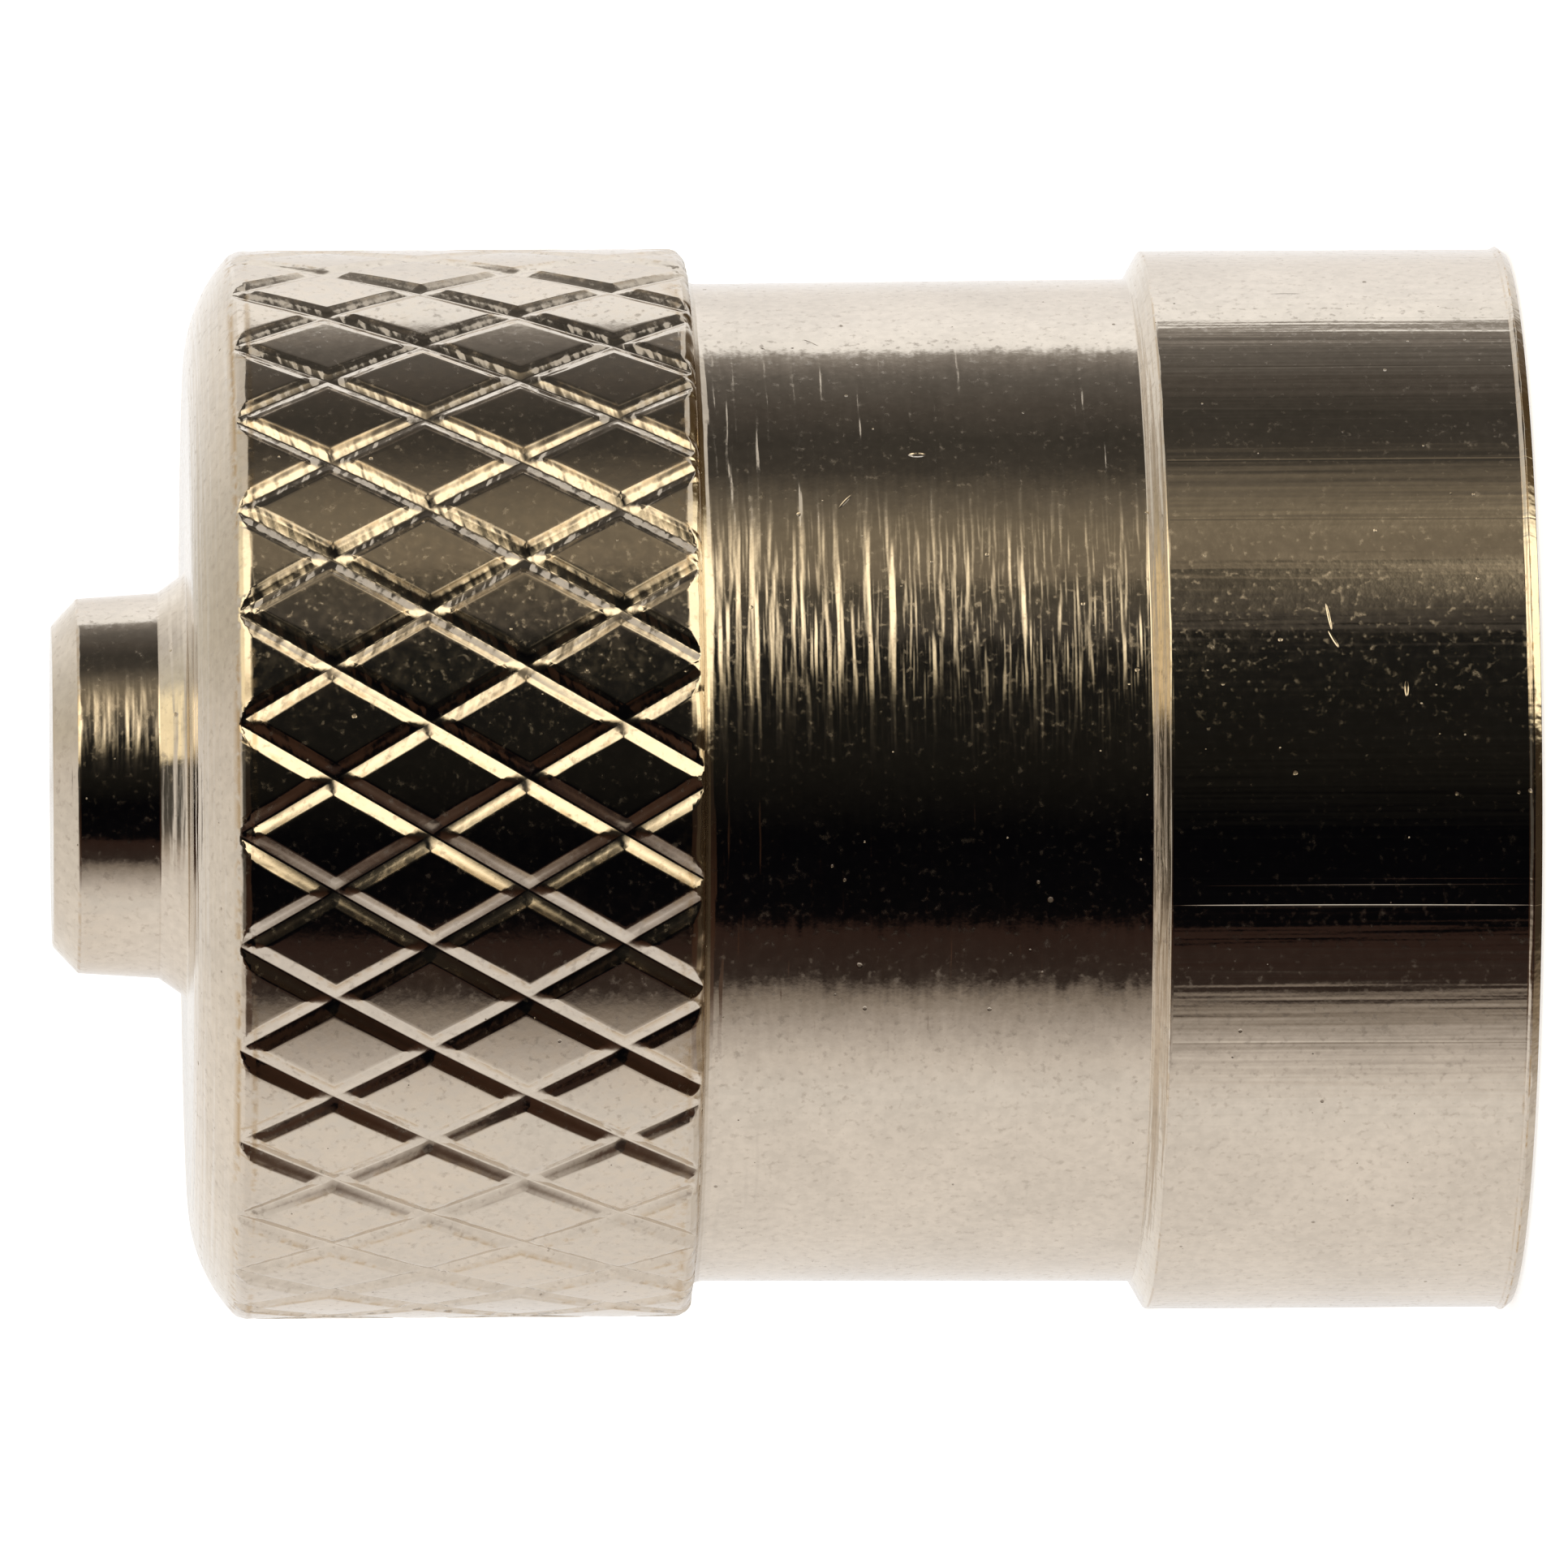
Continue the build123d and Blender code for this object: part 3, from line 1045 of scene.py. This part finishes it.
def studio_world():
    """White to the camera. Reflections see pale walls, a dark opening and a warm strip light."""
    world = bpy.data.worlds.new("studio")
    world.use_nodes = True
    tree = world.node_tree
    tree.nodes.clear()
    direction = put(tree, "ShaderNodeTexCoord").outputs["Generated"]
    halfway = vector(tree, "NORMALIZE", vector(tree, "ADD", direction, (0.0, -1.0, 0.0)))
    across, ahead, height = split_axes(tree, halfway)
    turn = calc(tree, "ARCTAN2", across, calc(tree, "MULTIPLY", ahead, -1.0))
    place = calc(tree, "MULTIPLY_ADD", turn, 1 / math.pi, 0.5)
    tilt = calc(tree, "ABSOLUTE", height)
    depth = calc(tree, "MULTIPLY", height, -1.0)

    def band(*stops):
        return ramp(tree, place, [(degrees / 180 + 0.5, shade) for degrees, *shade in stops])

    # Each stop is the turn of the surface in degrees, and the red, green and blue that it reflects
    pale_below = [
        (-90, 0.97, 0.95, 0.94),
        (-45, 0.97, 0.94, 0.92),
        (-38, 0.92, 0.90, 0.885),
        (-33.5, 0.82, 0.78, 0.75),
        (-29.4, 0.56, 0.52, 0.49),
        (-25.4, 0.31, 0.27, 0.235),
        (-24.2, 0.20, 0.17, 0.15),
        (-23.4, 0.04, 0.03, 0.026),
        (-16.8, 0.036, 0.020, 0.016),
        (-16.2, 0.003, 0.003, 0.004),
        (-6, 0.002, 0.002, 0.003),
        (2, 0.011, 0.0105, 0.009),
    ]
    dark_above = [
        (38, 0.066, 0.06, 0.052),
        (42.7, 0.057, 0.053, 0.047),
        (47.7, 0.098, 0.088, 0.079),
        (53.3, 0.16, 0.15, 0.14),
        (56.5, 0.27, 0.25, 0.235),
        (58.4, 0.42, 0.40, 0.38),
    ]
    pale_above = [
        (59, 1.25, 1.27, 1.3),
        (66, 1.22, 1.23, 1.26),
        (76, 1.05, 1.03, 1.02),
        (90, 1.05, 1.03, 1.02),
    ]
    dim_strip = [
        (15.4, 0.014, 0.0145, 0.0145),
        (17.2, 0.07, 0.064, 0.056),
        (22.4, 0.095, 0.085, 0.066),
        (24.0, 0.235, 0.20, 0.15),
        (29.6, 0.245, 0.21, 0.155),
        (33.7, 0.165, 0.144, 0.114),
    ]
    bright_strip = [
        (5, 0.03, 0.027, 0.022),
        (8.6, 0.09, 0.08, 0.06),
        (10.6, 0.45, 0.39, 0.27),
        (12.8, 1.2, 1.04, 0.73),
        (15.5, 2.1, 1.84, 1.36),
        (18, 2.4, 2.1, 1.56),
        (25, 2.1, 1.84, 1.36),
        (28, 1.4, 1.22, 0.9),
        (31.5, 0.42, 0.37, 0.29),
        (35, 0.15, 0.135, 0.11),
    ]
    level = band(*pale_below, *dim_strip, *dark_above, *pale_above)
    raised = band(*pale_below, *bright_strip, *dark_above, *pale_above)
    walls = band(
        (-90, 0.97, 0.95, 0.94),
        (-35, 0.90, 0.87, 0.85),
        (-28.5, 0.34, 0.29, 0.26),
        (-25, 0.11, 0.075, 0.058),
        (-18, 0.055, 0.028, 0.018),
        (-6, 0.022, 0.012, 0.008),
        (5.5, 0.03, 0.026, 0.02),
        (8, 0.5, 0.42, 0.28),
        (10.5, 1.3, 1.12, 0.78),
        (13.5, 2.1, 1.84, 1.36),
        (25, 2.2, 1.95, 1.45),
        (28.5, 1.5, 1.36, 1.05),
        (32, 0.84, 0.79, 0.7),
        (38, 0.74, 0.71, 0.66),
        (50, 0.74, 0.72, 0.69),
        (58, 0.86, 0.84, 0.81),
        *pale_above,
    )
    steep = band(
        (-90, 0.97, 0.95, 0.94),
        (-30, 1.0, 0.97, 0.95),
        (-24, 0.80, 0.75, 0.71),
        (-19, 0.55, 0.49, 0.43),
        (-14, 0.17, 0.15, 0.13),
        (-9, 0.09, 0.085, 0.075),
        (6, 0.09, 0.085, 0.075),
        (8.7, 1.4, 1.22, 0.84),
        (25, 1.35, 1.2, 0.84),
        (31, 0.75, 0.72, 0.62),
        (45, 0.70, 0.68, 0.66),
        (58, 0.95, 0.93, 0.9),
        (66, 1.2, 1.2, 1.2),
        (90, 1.05, 1.03, 1.02),
    )
    overhead = band(
        (-90, 1.0, 0.98, 0.95),
        (-45, 1.03, 1.0, 0.97),
        (-10, 0.90, 0.87, 0.83),
        (6, 0.84, 0.80, 0.75),
        (18, 0.70, 0.66, 0.58),
        (30, 0.76, 0.73, 0.67),
        (50, 0.98, 0.96, 0.93),
        (90, 1.1, 1.08, 1.06),
    )
    under = band(
        (-90, 0.85, 0.82, 0.8),
        (-40, 0.8, 0.76, 0.72),
        (-27, 0.35, 0.28, 0.2),
        (-18, 0.06, 0.045, 0.03),
        (5, 0.05, 0.035, 0.02),
        (8, 2.0, 1.78, 1.25),
        (27, 2.2, 1.98, 1.45),
        (33, 0.14, 0.1, 0.05),
        (45, 0.09, 0.06, 0.03),
        (57, 0.2, 0.16, 0.12),
        (63, 0.9, 0.88, 0.85),
        (90, 1.05, 1.03, 1.02),
    )
    beneath = band(
        (-90, 0.85, 0.82, 0.8),
        (-40, 0.7, 0.66, 0.62),
        (-27, 0.25, 0.2, 0.15),
        (-18, 0.05, 0.035, 0.02),
        (33, 0.05, 0.035, 0.02),
        (45, 0.09, 0.06, 0.03),
        (57, 0.25, 0.21, 0.17),
        (63, 0.8, 0.78, 0.75),
        (90, 1.05, 1.03, 1.02),
    )
    facing_down = calc(tree, "LESS_THAN", height, 0.0)
    slanted = blend(tree, facing_down, steep, under)

    # Each zone takes over between two values of the tilt, height or depth of the surface
    zones = (
        (raised, tilt, 0.029, 0.166),
        (walls, tilt, 0.155, 0.172),
        (slanted, tilt, 0.40, 0.47),
        (overhead, height, 0.55, 0.66),
        (beneath, depth, 0.72, 0.84),
    )
    shade = level
    for above, lean, low, high in zones:
        shade = blend(tree, spread(tree, lean, low, high), shade, above)
    camera_ray = put(tree, "ShaderNodeLightPath").outputs["Is Camera Ray"]
    seen = blend(tree, camera_ray, shade, (1.0, 1.0, 1.0, 1.0))
    background = put(tree, "ShaderNodeBackground", {"Color": seen, "Strength": 1.0})
    output = put(tree, "ShaderNodeOutputWorld")
    tree.links.new(background.outputs[0], output.inputs["Surface"])
    bpy.context.scene.world = world


def add_camera(sizes):
    """A long-lens camera beside the cap, turned so that the cap's axis lies across the picture."""
    data = bpy.data.cameras.new("camera")
    data.lens = sizes.camera_lens
    data.sensor_width = 36.0
    data.clip_start = 0.005
    data.clip_end = 20.0
    camera = new_object("camera", data)
    off_axis = -0.0000184
    place = Vector((off_axis, -sizes.camera_distance, sizes.camera_height))
    aim = Vector((off_axis, 0.0, sizes.aim_height))
    ahead = (aim - place).normalized()
    down = Vector((0.0, 0.0, -1.0))
    right = (down - ahead * down.dot(ahead)).normalized()
    up = (-ahead).cross(right)
    turn = sizes.camera_roll
    picture_right = right * math.cos(turn) + up * math.sin(turn)
    picture_up = up * math.cos(turn) - right * math.sin(turn)
    axes = Matrix((picture_right, picture_up, -ahead)).transposed()
    camera.matrix_world = Matrix.Translation(place) @ axes.to_4x4()
    bpy.context.scene.camera = camera


class BuildStage(Operator):
    """Build the studio floor, its light and the camera"""

    bl_idname = "valve_cap.build_stage"
    bl_label = "Studio Stage"

    def execute(self, context):
        sizes = context.scene.valve_cap_stage
        add_floor(sizes.floor_radius, context.scene.valve_cap_colours.floor)
        studio_world()
        add_camera(sizes)
        context.scene.view_settings.view_transform = "Standard"
        return {"FINISHED"}


class ValveCapPanel(Panel):
    """Sidebar panel with the pieces of the valve cap"""

    bl_idname = "VIEW3D_PT_valve_cap"
    bl_label = "Tyre Valve Cap"
    bl_space_type = "VIEW_3D"
    bl_region_type = "UI"
    bl_category = "Valve Cap"

    def draw(self, context):
        layout = self.layout
        scene = context.scene
        for operator in (BuildCapBody, BuildSealWasher, BuildStage):
            layout.operator(operator.bl_idname)
        groups = (
            scene.valve_cap_body,
            scene.valve_cap_seal,
            scene.valve_cap_colours,
            scene.valve_cap_stage,
        )
        for group in groups:
            box = layout.box()
            for name in group.__annotations__:
                box.prop(group, name)


CLASSES = (
    CapBodySizes,
    SealWasherSizes,
    FinishColours,
    StageSizes,
    BuildCapBody,
    BuildSealWasher,
    BuildStage,
    ValveCapPanel,
)


def register():
    """Register the classes and the settings kept with the scene."""
    for made in CLASSES:
        bpy.utils.register_class(made)
    bpy.types.Scene.valve_cap_body = PointerProperty(type=CapBodySizes)
    bpy.types.Scene.valve_cap_seal = PointerProperty(type=SealWasherSizes)
    bpy.types.Scene.valve_cap_colours = PointerProperty(type=FinishColours)
    bpy.types.Scene.valve_cap_stage = PointerProperty(type=StageSizes)


def unregister():
    """Remove the settings and the classes."""
    del bpy.types.Scene.valve_cap_stage
    del bpy.types.Scene.valve_cap_colours
    del bpy.types.Scene.valve_cap_seal
    del bpy.types.Scene.valve_cap_body
    for made in reversed(CLASSES):
        bpy.utils.unregister_class(made)


def main():
    """Build every piece and the stage."""
    register()
    bpy.ops.valve_cap.build_body()
    bpy.ops.valve_cap.build_seal()
    bpy.ops.valve_cap.build_stage()


if __name__ == "__main__":
    main()
